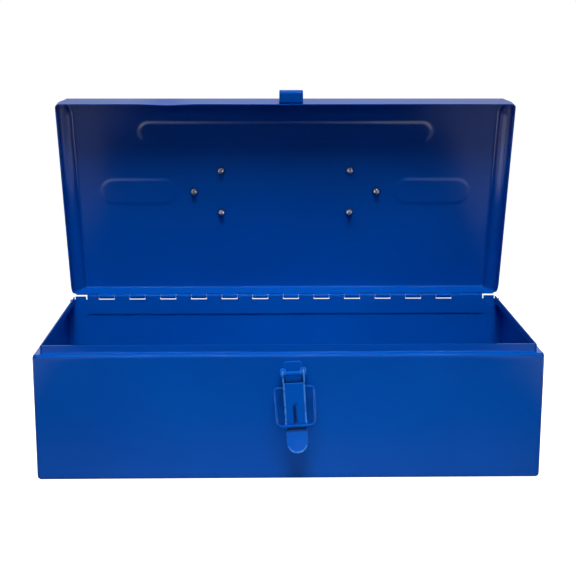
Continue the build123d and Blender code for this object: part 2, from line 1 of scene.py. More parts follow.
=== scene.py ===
"""Looks for the sheet-metal tool box: soft-bent enamelled sheets, plated hardware, moulded grip.

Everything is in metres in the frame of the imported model. The lid is worked out shut and then
turned open about the hinge, by the angle that the hinge's range gives.
"""

import json
import math

import bmesh
import bpy
import numpy as np
from mathutils import Euler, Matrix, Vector


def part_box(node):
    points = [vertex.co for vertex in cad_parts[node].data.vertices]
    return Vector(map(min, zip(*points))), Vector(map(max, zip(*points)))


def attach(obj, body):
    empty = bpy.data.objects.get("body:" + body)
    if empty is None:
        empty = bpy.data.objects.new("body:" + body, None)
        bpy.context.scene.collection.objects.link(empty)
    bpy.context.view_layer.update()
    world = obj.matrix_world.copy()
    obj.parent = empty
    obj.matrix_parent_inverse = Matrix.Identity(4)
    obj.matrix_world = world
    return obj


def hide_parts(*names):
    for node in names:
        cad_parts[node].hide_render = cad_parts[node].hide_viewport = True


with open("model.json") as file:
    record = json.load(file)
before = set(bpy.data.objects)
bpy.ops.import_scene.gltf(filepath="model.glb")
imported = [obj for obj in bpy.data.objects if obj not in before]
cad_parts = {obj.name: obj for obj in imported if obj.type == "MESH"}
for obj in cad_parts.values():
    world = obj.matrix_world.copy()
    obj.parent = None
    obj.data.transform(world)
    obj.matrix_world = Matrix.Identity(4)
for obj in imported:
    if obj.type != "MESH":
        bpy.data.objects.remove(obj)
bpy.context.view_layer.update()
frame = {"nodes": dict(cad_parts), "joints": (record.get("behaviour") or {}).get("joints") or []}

# ---------------------------------------------------------------- driving sizes, in metres
MM = 0.001
LOW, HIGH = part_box("body_wrap")
HALF_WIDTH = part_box("right_end_panel")[1].x
FRONT, BACK = LOW.y, HIGH.y
LIP_TOP = HIGH.z
WRAP_HALF = HIGH.x
TOUCH = 0.01 * MM
SHEET = 0.8 * MM
BEND = 2.0 * MM
LIP_BEND = 1.0 * MM
JOGGLE = 5.2 * MM
SHOULDER = LIP_TOP - 5.7 * MM
LIP_HALF = HALF_WIDTH - JOGGLE - SHEET - 0.4 * MM
WALL_TOP = 95.2 * MM
RISER = 164.9 * MM
HINGE = next(j for j in frame["joints"] if j["name"] == "lid_hinge")
HINGE_Y, HINGE_Z = HINGE["pos_m"][1:]
LID_OPEN = math.radians(-HINGE["range_deg"][0])
LID_FOOT = SHOULDER + 0.3 * MM
LID_SKIRT = 23.2 * MM
LID_TOP = LID_FOOT + LID_SKIRT
LID_BEND = 2.6 * MM
LID_CORNER = 3.0 * MM
LID_BACK_FOOT = 100.0 * MM
REAR_ROUND = 14.0 * MM
HANDLE_Y = -3.8 * MM
RIVET_PLACES = [(52.5 * MM, 17.7 * MM), (52.5 * MM, -17.7 * MM), (74.5 * MM, 0)]


def opened(points):
    """Points of the shut lid, turned open: a turn by the open angle about the hinge's axis."""
    y = points[..., 1] - HINGE_Y
    z = points[..., 2] - HINGE_Z
    turned = points.copy()
    turned[..., 1] = HINGE_Y + y * math.cos(LID_OPEN) + z * math.sin(LID_OPEN)
    turned[..., 2] = HINGE_Z - y * math.sin(LID_OPEN) + z * math.cos(LID_OPEN)
    return turned


def smooth(edge0, edge1, x):
    """The smooth step: 0 below the first edge, 1 above the second, 3t^2 - 2t^3 between."""
    t = np.clip((x - edge0) / (edge1 - edge0), 0, 1)
    return t * t * (3 - 2 * t)


def ripple(a, b, seed, reach):
    """A gentle unevenness from 0 to 1: the mean of eight sines of random heading and phase."""
    rng = np.random.default_rng(seed)
    total = np.zeros(np.broadcast(a, b).shape)
    for _ in range(8):
        heading, phase = rng.uniform(0, 2 * math.pi, 2)
        wave = 2 * math.pi / (reach * rng.uniform(0.6, 1.6))
        total += np.sin(wave * (a * math.cos(heading) + b * math.sin(heading)) + phase)
    return 0.5 + 0.5 * total / 8


# ---------------------------------------------------------------- meshes from grids
def make_mesh(name, verts, faces, smooth_angle=35):
    """A mesh object from vertex rows and quads; coincident vertices are merged, folds kept sharp."""
    mesh = bpy.data.meshes.new(name)
    mesh.from_pydata(np.asarray(verts).reshape(-1, 3).tolist(), [], faces.tolist())
    piece = bpy.data.objects.new(name, mesh)
    bpy.context.scene.collection.objects.link(piece)
    work = bmesh.new()
    work.from_mesh(mesh)
    bmesh.ops.remove_doubles(work, verts=work.verts, dist=2e-6)
    bmesh.ops.dissolve_degenerate(work, edges=work.edges, dist=1e-7)
    bmesh.ops.recalc_face_normals(work, faces=work.faces)
    work.to_mesh(mesh)
    work.free()
    mesh.shade_smooth()
    mesh.set_sharp_from_angle(angle=math.radians(smooth_angle))
    return piece


def sheet_faces(count, rows, cells, ring=False):
    """Quads of a sheet with two sides and the walls round its edge, from a mask of its cells.

    The first side's vertices come first, row by row, and the second side's follow. A ring joins
    its last station to its first.
    """
    span = count if ring else count - 1
    i, j = np.meshgrid(np.arange(span), np.arange(rows - 1), indexing="ij")
    i2 = (i + 1) % count
    a, b, c, d = i * rows + j, i2 * rows + j, i2 * rows + j + 1, i * rows + j + 1
    other = count * rows
    first = np.stack([a, b, c, d], -1)[cells]
    second = np.stack([d, c, b, a], -1)[cells] + other
    walls = []

    def wall(edge_mask, p, q):
        walls.append(
            np.stack([q[edge_mask], p[edge_mask], p[edge_mask] + other, q[edge_mask] + other], -1)
        )

    pad = np.zeros((span + 2, rows + 1), bool)
    pad[1:-1, 1:-1] = cells
    if ring:
        pad[0, 1:-1], pad[-1, 1:-1] = cells[-1], cells[0]
    inner = pad[1:-1, 1:-1]
    wall(inner & ~pad[1:-1, :-2], a, b)
    wall(inner & ~pad[2:, 1:-1], b, c)
    wall(inner & ~pad[1:-1, 2:], c, d)
    wall(inner & ~pad[:-2, 1:-1], d, a)
    return np.concatenate([first, second, *walls])


def along(points, radii, steps):
    """A path through corner points with round bends: (place, outward side) at evenly cut pieces.

    Each corner's arc is tangent to both runs, and a radius of nought leaves the corner as a
    point of a straight run. The side is the path's left-hand normal.
    """
    points = [np.array(p, float) for p in points]
    place, side = [], []
    start = points[0]
    for n, radius in enumerate([*radii, 0.0]):
        end = points[n + 1]
        heading = (end - points[n]) / np.linalg.norm(end - points[n])
        last = n == len(radii)
        if not last:
            after = points[n + 2] - end
            after = after / np.linalg.norm(after)
            turn = math.atan2(
                heading[0] * after[1] - heading[1] * after[0], float(heading @ after)
            )
            cut = radius * math.tan(abs(turn) / 2)
            end = end - heading * cut
        t = np.linspace(0, 1, steps[n] + 1)[:, None]
        left = np.array([-heading[1], heading[0]])
        place.append(start + (end - start) * t)
        side.append(np.repeat(left[None], len(t), 0))
        if last:
            break
        if not radius:
            start = end
            continue
        sign = math.copysign(1, turn)
        centre = end + left * radius * sign
        sweep = np.linspace(0, turn, 9)[1:-1, None]
        spoke = end - centre
        arc = np.concatenate(
            [
                spoke[0] * np.cos(sweep) - spoke[1] * np.sin(sweep),
                spoke[0] * np.sin(sweep) + spoke[1] * np.cos(sweep),
            ],
            1,
        )
        place.append(centre + arc)
        side.append(-sign * arc / radius)
        start = centre + np.array(
            [
                spoke[0] * math.cos(turn) - spoke[1] * math.sin(turn),
                spoke[0] * math.sin(turn) + spoke[1] * math.cos(turn),
            ]
        )
    return np.concatenate(place), np.concatenate(side)


def set_attribute(piece, name, function):
    """A number on every vertex, worked out from the vertices' places by the given function."""
    mesh = piece.data
    places = np.zeros(len(mesh.vertices) * 3, np.float32)
    mesh.vertices.foreach_get("co", places)
    values = function(places.reshape(-1, 3)).astype(np.float32)
    mesh.attributes.new(name, "FLOAT", "POINT").data.foreach_set("value", values)


# ---------------------------------------------------------------- body sheet
FRONT_DENT, FRONT_WAVE = 0.30 * MM, 130 * MM
BACK_DENT, BACK_WAVE = 0.25 * MM, 150 * MM
END_FADE = 18 * MM
BEND_FADE = 14 * MM


def on_flat(z, top):
    """1 on the flat of an upright wall, fading to 0 at its top edge and at the bottom bend."""
    return smooth(0, BEND_FADE, top - z) * smooth(BEND, BEND + BEND_FADE, z)


def body_sheet():
    """Front, bottom and back in one sheet: a bent profile in YZ carried along X.

    Each upright flat leans inwards by a ripple of up to a third of a millimetre that dies away
    towards the bends and the ends. The lip stops short at both ends. The back wall stands up
    beside the hinge, from the riser's place to the lip's end.
    """
    corners = [
        (BACK, LIP_TOP),
        (BACK, WALL_TOP),
        (BACK, 0),
        (FRONT, 0),
        (FRONT, SHOULDER),
        (FRONT + JOGGLE, SHOULDER),
        (FRONT + JOGGLE, LIP_TOP),
    ]
    bends = (0, BEND, BEND, BEND, LIP_BEND)
    path, left = along(corners, bends, (2, 22, 34, 26, 3, 4))
    inward = -left
    rows = len(path)
    evenly = np.linspace(-WRAP_HALF, WRAP_HALF, 145)
    x = np.unique(np.concatenate([evenly, [-LIP_HALF, LIP_HALF, -RISER, RISER]]))
    shape = (len(x), rows)
    y = np.broadcast_to(path[:, 0], shape)
    z = np.broadcast_to(path[:, 1], shape)
    xx = np.broadcast_to(x[:, None], shape)
    on_front = on_flat(z, SHOULDER) * (y < FRONT + TOUCH)
    on_back = on_flat(z, WALL_TOP) * (y > BACK - TOUCH)
    dent = smooth(0, END_FADE, WRAP_HALF - np.abs(xx)) * (
        FRONT_DENT * on_front * ripple(xx, z * 1.4, 3, FRONT_WAVE)
        + BACK_DENT * on_back * ripple(xx, z * 1.4, 9, BACK_WAVE)
    )
    outer = np.stack([xx, y + inward[:, 0] * dent, z + inward[:, 1] * dent], -1)
    inner = outer + np.stack([np.zeros(rows), inward[:, 0], inward[:, 1]], -1) * SHEET
    middle = np.abs(x[:-1] + x[1:]) / 2
    start, end = path[:-1], path[1:]
    lip = (start[:, 0] > FRONT + 0.8 * JOGGLE) & (start[:, 0] < 0)
    lip &= start[:, 1] > SHOULDER - 0.1 * MM
    riser = (end[:, 1] > WALL_TOP - TOUCH) & (end[:, 0] > 0)
    cells = ~((middle > LIP_HALF)[:, None] & lip[None])
    beside_hinge = (middle > RISER) & (middle < LIP_HALF)
    cells &= beside_hinge[:, None] | ~riser[None]
    faces = sheet_faces(len(x), rows, cells)
    piece = make_mesh("body_sheet", np.concatenate([outer, inner]), faces)
    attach(piece, "box")
    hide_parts("body_wrap")
    return piece


# ---------------------------------------------------------------- lid
EMBOSS = 0.45 * MM
PAD_X, PAD_LENGTH, PAD_WIDTH = 121 * MM, 63 * MM, 22 * MM
BEAD_Y, BEAD_LENGTH, BEAD_WIDTH = FRONT + 27.5 * MM, 238 * MM, 17 * MM
PANEL_SAG, PANEL_WAVE, PANEL_FADE = 0.5 * MM, 170 * MM, 30 * MM
LID_LEAN = 8.0 * MM
LEAN_FOOT, LEAN_TOP = LID_TOP - 15 * MM, LID_TOP - 2.5 * MM
FRONT_LEAN, LEAN_GROWTH = 0.5, 14 * MM
LID_TAPER = 4.0 * MM
FOOT_WAVE = 0.35 * MM
SKIRT_BOW = 0.25 * MM
KNOCK_X, KNOCK_WIDTH, KNOCK_DEPTH = -93 * MM, 14 * MM, 0.9 * MM
# painted shade round each handle rivet: full within the first distance, gone beyond the second
RIVET_SHADE_FULL, RIVET_SHADE_END = 2.6 * MM, 4.6 * MM


def slot_distance(x, y, centre, length, width):
    """Signed distance to a plain slot shape lying along X: below zero inside it."""
    reach = np.maximum(np.abs(x - centre[0]) - (length - width) / 2, 0)
    return np.hypot(reach, y - centre[1]) - width / 2


def pressed(x, y):
    """Depth of the lid's pressed marks: a soft step across each outline of two pads and a bead."""
    depth = np.zeros(np.broadcast(x, y).shape)
    x = x * (1 - LID_LEAN / HALF_WIDTH)
    for centre, length, width in (
        ((PAD_X, HANDLE_Y), PAD_LENGTH, PAD_WIDTH),
        ((-PAD_X, HANDLE_Y), PAD_LENGTH, PAD_WIDTH),
        ((0, BEAD_Y), BEAD_LENGTH, BEAD_WIDTH),
    ):
        distance = slot_distance(x, y, centre, length, width)
        depth = np.maximum(depth, 1 - smooth(-1.8 * MM, 0.2 * MM, distance))
    return EMBOSS * depth


def panel_sag(x, y):
    """How far the lid's panel sags: a ripple that dies away at its edges."""
    fade = smooth(0, PANEL_FADE, HALF_WIDTH - np.abs(x)) * smooth(0, PANEL_FADE, BACK - np.abs(y))
    return PANEL_SAG * fade * ripple(x, y * 1.2, 21, PANEL_WAVE)


def narrowed(points):
    """The lid's points drawn in: its sides lean in towards the panel and taper to the hinge.

    The lean is a smooth step of height, slighter at the front, and the taper is a straight line
    from front to back.
    """
    x, y, z = points[..., 0], points[..., 1], points[..., 2]
    lean = LID_LEAN * smooth(LEAN_FOOT, LEAN_TOP, z)
    lean *= FRONT_LEAN + (1 - FRONT_LEAN) * smooth(FRONT, FRONT + LEAN_GROWTH, y)
    taper = LID_TAPER * np.clip((y - FRONT) / (BACK - FRONT), 0, 1)
    drawn = points.copy()
    drawn[..., 0] = x * (1 - (lean + taper) / HALF_WIDTH)
    return drawn


def lid_ring(inset, along_x, along_y):
    """One ring of the lid's outline: straight sides and four round corners, shrunk by an inset."""
    cx, cy = HALF_WIDTH - LID_CORNER, BACK - LID_CORNER
    radius = LID_CORNER - inset
    t = np.linspace(0, math.pi / 2, 7)
    sx, sy = along_x * cx, along_y * cy
    one = np.ones
    runs = [
        np.stack([sx, -one(len(sx)) * (cy + radius)], -1),
        np.stack([cx + radius * np.sin(t), -cy - radius * np.cos(t)], -1)[1:-1],
        np.stack([one(len(sy)) * (cx + radius), sy], -1),
        np.stack([cx + radius * np.cos(t), cy + radius * np.sin(t)], -1)[1:-1],
        np.stack([-sx, one(len(sx)) * (cy + radius)], -1),
        np.stack([-cx - radius * np.sin(t), cy + radius * np.cos(t)], -1)[1:-1],
        np.stack([-one(len(sy)) * (cx + radius), -sy], -1),
        np.stack([-cx - radius * np.cos(t), -cy - radius * np.sin(t)], -1)[1:-1],
    ]
    return np.concatenate(runs)


def skirt_foot(ring):
    """Height of the skirt's free edge round the lid's outline.

    The front and sides end just above the step, with a slow wave. The side flanges' rear corners
    rise on a large arc, and the back flange stops above the hinge barrel.
    """
    x, y = ring[:, 0], ring[:, 1]
    foot = LID_FOOT + FOOT_WAVE * ripple(x, y, 5, 140 * MM)
    reach = np.clip(y - (BACK - REAR_ROUND), 0, REAR_ROUND)
    arc = LID_FOOT + REAR_ROUND - np.sqrt(np.maximum(REAR_ROUND**2 - reach**2, 0))
    foot = np.maximum(foot, arc)
    turn = smooth(0, LID_CORNER, HALF_WIDTH - np.abs(x))
    at_back = (y > BACK - LID_CORNER).astype(float)
    return foot * (1 - at_back) + at_back * (foot * (1 - turn) + LID_BACK_FOOT * turn)


def lid_side(thick, along_x, along_y):
    """One side of the lid sheet: the panel's grid, and rings over the bend and down the skirt.

    The panel sinks by its pressed marks and its sag. The bend is a quarter circle. The skirt
    bows inwards as it goes down, by a ripple and by one bell-shaped knock in the front flange.
    """
    cx, cy = HALF_WIDTH - LID_CORNER, BACK - LID_CORNER
    gx, gy = np.meshgrid(along_x * cx, along_y * cy, indexing="ij")
    top = LID_TOP - thick
    panel = np.stack([gx, gy, top - pressed(gx, gy) - panel_sag(gx, gy)], -1)
    radius = LID_BEND - thick
    flat = lid_ring(LID_CORNER, along_x, along_y)
    rings = [np.column_stack([flat, top - panel_sag(*flat.T) - pressed(*flat.T)])]
    for angle in np.linspace(0, math.pi / 2, 7):
        inset = LID_BEND - radius * math.sin(angle)
        ring = lid_ring(inset, along_x, along_y)
        height = np.full(len(ring), top - radius * (1 - math.cos(angle)))
        rings.append(np.column_stack([ring, height]))
    foot = skirt_foot(lid_ring(0, along_x, along_y))
    start = top - radius
    straight = lid_ring(thick, along_x, along_y)
    x, y = straight.T
    knock = np.exp(-(((x - KNOCK_X) / KNOCK_WIDTH) ** 2)) * (y < 0)
    bow = SKIRT_BOW * ripple(x, y, 13, 120 * MM) + KNOCK_DEPTH * knock
    for t in np.linspace(0, 1, 9)[1:]:
        ring = straight - t * bow[:, None] * np.sign(straight) * (np.abs(straight) > (cx, cy))
        rings.append(np.column_stack([ring, start + (foot - start) * t]))
    return panel, np.stack(rings, 1)


def rivet_painted_shade(places):
    """Painted shade round each handle rivet: 1 close to it, and 0 from a few millimetres off."""
    nearest = np.full(len(places), 1.0)
    for x, y in RIVET_PLACES:
        for side in (-1, 1):
            centre = opened(np.array([side * x, HANDLE_Y + y, LID_TOP]))
            nearest = np.minimum(nearest, np.linalg.norm(places - centre, axis=1))
    return smooth(RIVET_SHADE_END, RIVET_SHADE_FULL, nearest)


def lid_sheet():
    """The lid: a pan with a rippled panel, pressed marks, a round bend and four flanges.

    Each side of the sheet is a grid for the panel and a set of rings for the bend and the skirt.
    """
    along_x = np.linspace(-1, 1, 251)
    along_y = np.linspace(-1, 1, 117)
    outer_panel, outer_rings = lid_side(0, along_x, along_y)
    inner_panel, inner_rings = lid_side(SHEET, along_x, along_y)
    nx, ny = len(along_x), len(along_y)
    i, j = np.meshgrid(np.arange(nx - 1), np.arange(ny - 1), indexing="ij")
    corners = [i * ny + j, (i + 1) * ny + j, (i + 1) * ny + j + 1, i * ny + j + 1]
    panel_faces = np.stack(corners, -1).reshape(-1, 4)
    count, rows = outer_rings.shape[:2]
    ring_faces = sheet_faces(count, rows, np.ones((count, rows - 1), bool), ring=True)
    # the wall at the first row would close the panel off, so it is left out
    in_first_row = (ring_faces % (count * rows)) % rows == 0
    ring_faces = ring_faces[~in_first_row.all(1)]
    faces = [panel_faces, panel_faces[:, ::-1] + nx * ny, ring_faces + 2 * nx * ny]
    verts = [part.reshape(-1, 3) for part in (outer_panel, inner_panel, outer_rings, inner_rings)]
    points = opened(narrowed(np.concatenate(verts)))
    piece = make_mesh("lid_sheet", points, np.concatenate(faces))
    # painted shade round the handle rivets
    set_attribute(piece, "grime", rivet_painted_shade)
    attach(piece, "lid")
    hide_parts("lid_shell")
    return piece


# ---------------------------------------------------------------- latch lever
LEVER = next(j for j in frame["joints"] if j["name"] == "lever_pivot")
PIVOT_X, PIVOT_Y, PIVOT_Z = LEVER["pos_m"]
SLANT = math.asin(-LEVER["axis"][2])
LEVER_HALF = 7.8 * MM
LEVER_SHEET = 1.0 * MM
LEVER_ROUND = 4.2 * MM
WEB_FRONT = PIVOT_Y - 3.7 * MM
WEB_TOP = PIVOT_Z - 6.2 * MM
WEB_FOOT = PIVOT_Z - 38.9 * MM
FLANGE_END = WEB_FOOT + 3.7 * MM
TAB_TIP = PIVOT_Z - 55.6 * MM
TAB_OUT = 5.6 * MM
TAB_CURL = 0.6 * MM
WEB_BEND = 1.5 * MM
KINK_TOP = WEB_FOOT + 2 * MM
GROOVE_DEPTH = 1.0 * MM
GROOVE_FOOT, GROOVE_TOP = WEB_FOOT + 2 * MM, WEB_FOOT + 19 * MM


def slanted(points):
    """Points of the latch drawn upright about its pivot, turned in the front's plane by the slant."""
    turned = points.copy()
    x, z = points[..., 0], points[..., 2] - PIVOT_Z
    turned[..., 0] = PIVOT_X + x * math.cos(SLANT) - z * math.sin(SLANT)
    turned[..., 2] = PIVOT_Z + x * math.sin(SLANT) + z * math.cos(SLANT)
    return turned


def upright(places):
    """Undoes the slant: how far each place lies beside the lever's middle line, and its height."""
    dx, dz = places[:, 0] - PIVOT_X, places[:, 2] - PIVOT_Z
    x = dx * math.cos(SLANT) + dz * math.sin(SLANT)
    return x, dz * math.cos(SLANT) - dx * math.sin(SLANT) + PIVOT_Z


def lever_painted_highlight(places):
    """Painted highlight: 1 along the lever's two bends and round the tab's tip, and 0 elsewhere."""
    x, z = upright(places)
    x = np.abs(x)
    bends = smooth(LEVER_HALF - 1.5 * MM, LEVER_HALF - 0.9 * MM, x)
    bends = bends * (z > FLANGE_END - 1 * MM) * (places[:, 1] < WEB_FRONT + 1.2 * MM)
    reach = np.hypot(x, np.maximum(TAB_TIP + LEVER_HALF - z, 0))
    tip = smooth(LEVER_HALF - 1.4 * MM, LEVER_HALF - 0.8 * MM, reach)
    return np.maximum(bends, tip * (z < TAB_TIP + 0.6 * LEVER_HALF))


def lever_painted_shade(places):
    """Painted shade: 1 in the groove's left side and across the web's foot, and 0 elsewhere."""
    x, z = upright(places)
    in_groove = smooth(1.4 * MM, 0.8 * MM, np.abs(x + 0.6 * MM))
    in_groove = in_groove * smooth(GROOVE_FOOT, GROOVE_FOOT + 2 * MM, z)
    in_groove = in_groove * smooth(GROOVE_TOP - 1 * MM, GROOVE_TOP - 4 * MM, z)
    at_foot = smooth(1.4 * MM, 0.7 * MM, np.abs(z - WEB_FOOT - 0.2 * MM))
    return np.maximum(in_groove, at_foot * (np.abs(x) < LEVER_HALF - 1 * MM))


def latch_lever():
    """The lever: a channel section carried down a gently kinked line, fading to a flat tab.

    At each station the section runs down one flange, round a bend, across the web and back. The
    flanges' depth follows the lever's side view, and the tab's half-width follows its round end.
    The groove in the web is a soft trough, and the tab's tip curls out a little.
    """
    stations = np.concatenate(
        [
            PIVOT_Z + LEVER_ROUND * np.cos(np.linspace(0.02, math.pi / 2, 14)),
            np.linspace(PIVOT_Z, WEB_TOP + TOUCH, 8)[1:],
            np.linspace(WEB_TOP, FLANGE_END, 40),
            np.linspace(FLANGE_END, TAB_TIP + LEVER_HALF, 26)[1:],
            TAB_TIP + LEVER_HALF * (1 - np.sin(np.linspace(0, math.pi / 2, 20)))[1:],
        ]
    )[:, None]
    above = np.maximum(stations - PIVOT_Z, 0)
    rise = np.sqrt(np.maximum(LEVER_ROUND**2 - above**2, 0))
    front = np.maximum(PIVOT_Y - rise, WEB_FRONT)
    back = np.where(above > 0, PIVOT_Y + rise, PIVOT_Y + LEVER_ROUND)
    back -= 0.8 * MM * smooth(0, 8 * MM, PIVOT_Z - stations)
    depth = (back - front) * smooth(FLANGE_END, FLANGE_END + 7 * MM, stations)
    lean = TAB_OUT * np.maximum(KINK_TOP - stations, 0) / (KINK_TOP - TAB_TIP)
    line = front - lean * smooth(WEB_FOOT + 3 * MM, WEB_FOOT - 4 * MM, stations)
    has_web = stations <= WEB_TOP + TOUCH / 2
    bend = np.where(has_web, np.minimum(WEB_BEND, depth), 0)
    half = LEVER_HALF - 0.5 * MM * smooth(FLANGE_END, WEB_FOOT - 4 * MM, stations)
    into_round = np.maximum(TAB_TIP + half - stations, 0)
    half = np.sqrt(np.maximum(half**2 - into_round**2, (0.02 * MM) ** 2))

    down_flange = np.linspace(0, 1, 7)
    corner = np.linspace(0, math.pi / 2, 7)[1:]
    across = np.linspace(-1, 1, 31)[1:-1]
    flange_x = -half + 0 * down_flange
    flange_y = depth + (bend - depth) * down_flange
    left_x = np.concatenate([flange_x, -half + bend * (1 - np.cos(corner))], 1)
    left_y = np.concatenate([flange_y, bend * (1 - np.sin(corner))], 1)
    web_x = across * (half - bend)
    left_nx = np.concatenate([np.ones(7), np.cos(corner)])
    left_ny = np.concatenate([np.zeros(7), np.sin(corner)])
    x = np.concatenate([left_x, web_x, -left_x[:, ::-1]], 1)
    section_y = np.concatenate([left_y, 0 * web_x, left_y[:, ::-1]], 1)
    flat = smooth(FLANGE_END + 1 * MM, FLANGE_END, stations)
    nx = np.concatenate([left_nx, 0 * across, -left_nx[::-1]]) * (1 - flat)
    ny = np.concatenate([left_ny, 1 + 0 * across, left_ny[::-1]]) * (1 - flat) + flat
    z = np.broadcast_to(stations, x.shape)
    groove = GROOVE_DEPTH * (1 - smooth(0.3 * MM, 1.5 * MM, np.abs(x)))
    groove = groove * smooth(GROOVE_FOOT, GROOVE_FOOT + 2 * MM, z)
    groove = groove * smooth(GROOVE_TOP, GROOVE_TOP - 3 * MM, z)
    curl = TAB_CURL * smooth(TAB_TIP + 2 * MM, TAB_TIP, z)
    y = np.maximum(line + section_y + groove - curl, WEB_FRONT - TAB_OUT)
    outer = np.stack([x, y, z], -1)
    inner = np.stack([x + nx * LEVER_SHEET, y + ny * LEVER_SHEET, z], -1)

    in_web = np.zeros(x.shape[1] - 1, bool)
    in_web[6:-6] = True
    faces = sheet_faces(*x.shape, has_web[:-1] | ~in_web)
    points = slanted(np.concatenate([outer.reshape(-1, 3), inner.reshape(-1, 3)]))
    piece = make_mesh("lever_sheet", points, faces, 50)
    # painted highlight along the lever's bends and round the tab's tip
    set_attribute(piece, "edge", lever_painted_highlight)
    # painted shade in the groove's left side and across the web's foot
    set_attribute(piece, "grime", lever_painted_shade)
    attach(piece, "lever")
    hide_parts("latch_lever")
    return piece


# ---------------------------------------------------------------- node groups
def new_group(name, inputs, outputs):
    """An empty shader node group with named float inputs, their defaults, and float outputs."""
    group = bpy.data.node_groups.new(name, "ShaderNodeTree")
    for label, default in inputs:
        socket = group.interface.new_socket(name=label, in_out="INPUT", socket_type="NodeSocketFloat")
        socket.default_value = default
    for label in outputs:
        group.interface.new_socket(name=label, in_out="OUTPUT", socket_type="NodeSocketFloat")
    return group, group.nodes.new("NodeGroupInput"), group.nodes.new("NodeGroupOutput")


def node(tree, kind, **values):
    """A new node with its properties set, and its inputs too, by name after in_."""
    made = tree.nodes.new(kind)
    for key, value in values.items():
        if key.startswith("in_"):
            made.inputs[key[3:].replace("_", " ")].default_value = value
        else:
            setattr(made, key, value)
    return made


def maths(tree, operation, a, b=None):
    """A Math node; each of a and b is a socket or a number."""
    made = node(tree, "ShaderNodeMath", operation=operation)
    for n, value in enumerate((a, b)):
        if value is None:
            continue
        if isinstance(value, (int, float)):
            made.inputs[n].default_value = value
        else:
            tree.links.new(value, made.inputs[n])
    return made.outputs[0]


def noise(tree, scale, detail=2.0, roughness=0.5):
    """Noise over Object coordinates; scale is a socket or a number, in waves per metre."""
    place = node(tree, "ShaderNodeTexCoord")
    made = node(tree, "ShaderNodeTexNoise", in_Detail=detail, in_Roughness=roughness)
    tree.links.new(place.outputs["Object"], made.inputs["Vector"])
    if isinstance(scale, (int, float)):
        made.inputs["Scale"].default_value = scale
    else:
        tree.links.new(scale, made.inputs["Scale"])
    return made.outputs["Fac"]


def ramp(tree, value, low, high):
    """A socket mapped from [low, high] to [0, 1], clamped."""
    made = node(tree, "ShaderNodeMapRange", in_From_Min=low, in_From_Max=high)
    tree.links.new(value, made.inputs["Value"])
    return made.outputs["Result"]


def mottle_group():
    """Paint or plating that varies a little in tone, in slow clouds."""
    group, source, out = new_group("mottle", [("Cloud Scale", 12.0)], ["Cloud"])
    cloud = noise(group, source.outputs["Cloud Scale"], 3.0)
    group.links.new(ramp(group, cloud, 0.35, 0.68), out.inputs["Cloud"])
    return group


def gloss_group():
    """Roughness of a handled gloss surface: smears and dust over an even base."""
    group, source, out = new_group("gloss", [("Base", 0.2), ("Smear", 0.12)], ["Roughness"])
    smears = ramp(group, noise(group, 30.0, 5.0, 0.62), 0.45, 0.8)
    dust = ramp(group, noise(group, 420.0, 4.0, 0.7), 0.5, 0.8)
    both = maths(group, "ADD", smears, maths(group, "MULTIPLY", dust, 0.5))
    extra = maths(group, "MULTIPLY", both, source.outputs["Smear"])
    group.links.new(maths(group, "ADD", source.outputs["Base"], extra), out.inputs["Roughness"])
    return group


def peel_group():
    """Height of sprayed enamel: orange peel about a millimetre and a half across."""
    group, source, out = new_group("orange_peel", [("Peel", 1.0), ("Scale", 650.0)], ["Height"])
    peel = noise(group, source.outputs["Scale"], 1.0, 0.4)
    slow = noise(group, 28.0, 1.0, 0.4)
    total = maths(group, "ADD", peel, maths(group, "MULTIPLY", slow, 6.0))
    group.links.new(maths(group, "MULTIPLY", total, source.outputs["Peel"]), out.inputs["Height"])
    return group


def painted_light_group():
    """Painted light: a pale highlight along edges, as a mask that is a little broken, and painted
    shade.

    The highlight is the larger of the piece's own edge attribute and the turn between the
    face's direction and that of the same face with its edges rounded. The painted shade is an
    attribute.
    """
    inputs = [("Amount", 0.5), ("Width", 0.4 * MM), ("Dirt", 0.85)]
    group, source, out = new_group("edge_wear", inputs, ["Mask", "Grime"])
    geometry = node(group, "ShaderNodeNewGeometry")
    rounded = node(group, "ShaderNodeBevel", samples=6)
    group.links.new(source.outputs["Width"], rounded.inputs["Radius"])
    turn = node(group, "ShaderNodeVectorMath", operation="DOT_PRODUCT")
    group.links.new(geometry.outputs["Normal"], turn.inputs[0])
    group.links.new(rounded.outputs["Normal"], turn.inputs[1])
    edge = ramp(group, turn.outputs["Value"], 0.99, 0.82)
    own = node(group, "ShaderNodeAttribute", attribute_name="edge")
    edge = maths(group, "MAXIMUM", edge, own.outputs["Fac"])
    broken = ramp(group, noise(group, 220.0, 3.0, 0.6), 0.3, 0.5)
    mask = maths(group, "MULTIPLY", edge, broken)
    mask = maths(group, "MULTIPLY", mask, source.outputs["Amount"])
    group.links.new(mask, out.inputs["Mask"])
    # painted shade, read from the piece's own attribute and scaled
    shade_mask = node(group, "ShaderNodeAttribute", attribute_name="grime")
    shade_mask = maths(group, "MULTIPLY", shade_mask.outputs["Fac"], source.outputs["Dirt"])
    group.links.new(shade_mask, out.inputs["Grime"])
    return group


GROUPS = {
    "mottle": mottle_group(),
    "wear": painted_light_group(),
    "gloss": gloss_group(),
    "peel": peel_group(),
}


def use_group(tree, name, **inputs):
    """A shared group placed in a material, with its inputs set by name."""
    made = tree.nodes.new("ShaderNodeGroup")
    made.node_tree = GROUPS[name]
    for key, value in inputs.items():
        made.inputs[key.replace("_", " ")].default_value = value
    return made


